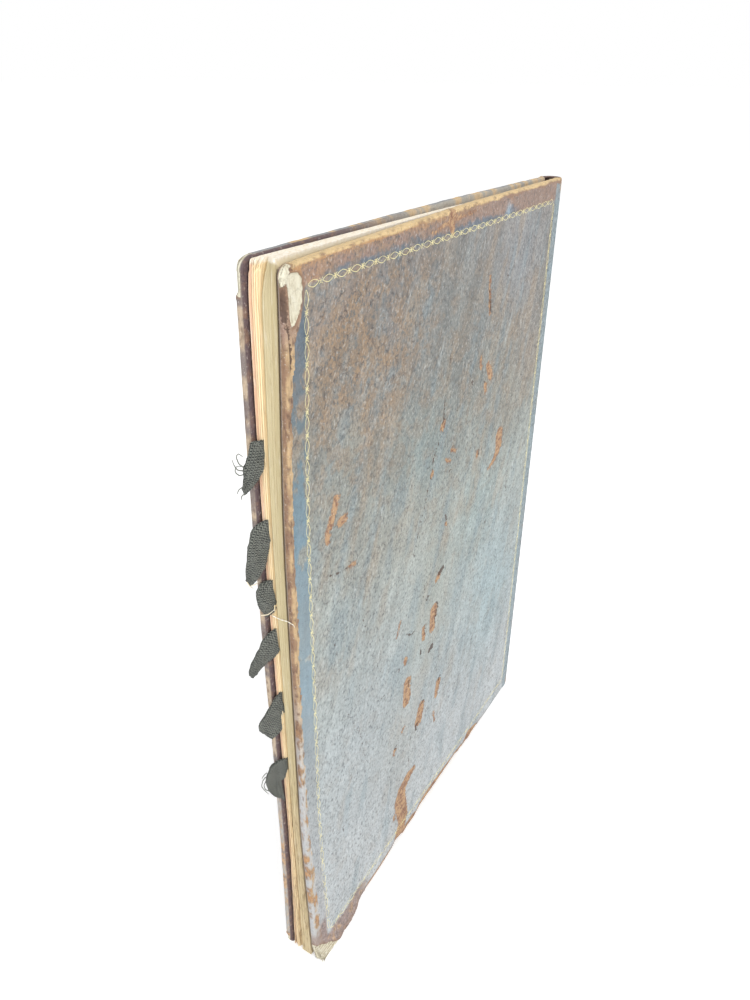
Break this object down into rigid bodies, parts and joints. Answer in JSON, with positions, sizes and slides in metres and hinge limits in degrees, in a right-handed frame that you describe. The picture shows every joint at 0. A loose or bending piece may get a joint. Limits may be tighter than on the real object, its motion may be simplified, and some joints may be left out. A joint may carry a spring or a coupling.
{
  "type": "leather-bound book",
  "caption": "Thin folio book in worn full leather with a gilt border on each cover and ribbon index tabs along its fore-edge; both covers open.",
  "frame": {"origin": "middle of the book's thickness and width, on the plane of its tail edges", "axes": "+Z from the tail up to the head of the book, +X from the spine towards the fore-edge, +Y from the front cover towards the rear cover"},
  "size_m": [0.2463, 0.025, 0.336],
  "materials": {
    "rear_leather": "worn, satin",
    "front_leather": "worn, satin",
    "spine_leather": "worn, satin",
    "pasteboard": "matt, fibrous",
    "endpaper": "matt",
    "pages": "matt",
    "gilt": "rubbed gold leaf",
    "ribbon": "ribbed ribbon",
    "thread": "matt",
    "cord": "matt"
  },
  "bodies": {
    "block": {"text_block": "pages", "spine_leather": "spine_leather", "spine_lining": "endpaper", "head_endband": "thread", "tail_endband": "thread", "sewing_cord_1": "cord", "sewing_cord_2": "cord", "sewing_cord_3": "cord", "sewing_cord_4": "cord", "sewing_cord_5": "cord", "index_tab_1": "ribbon", "index_tab_2": "ribbon", "index_tab_3": "ribbon", "index_tab_4": "ribbon", "index_tab_5": "ribbon", "index_tab_6": "ribbon"},
    "rear_cover": {"rear_board": "pasteboard", "rear_leather": "rear_leather", "rear_pastedown": "endpaper", "rear_gilt_border": "gilt"},
    "front_cover": {"front_board": "pasteboard", "front_leather": "front_leather", "front_pastedown": "endpaper", "front_gilt_border": "gilt"}
  },
  "joints": [
    {"name": "rear_cover_hinge", "type": "hinge", "parent": "block", "child": "rear_cover", "pos_m": [-0.11655, 0.007, 0.168], "axis": [0, 0, 1], "range_deg": [0, 180]},
    {"name": "front_cover_hinge", "type": "hinge", "parent": "block", "child": "front_cover", "pos_m": [-0.11655, -0.0044, 0.168], "axis": [0, 0, -1], "range_deg": [0, 180]}
  ]
}
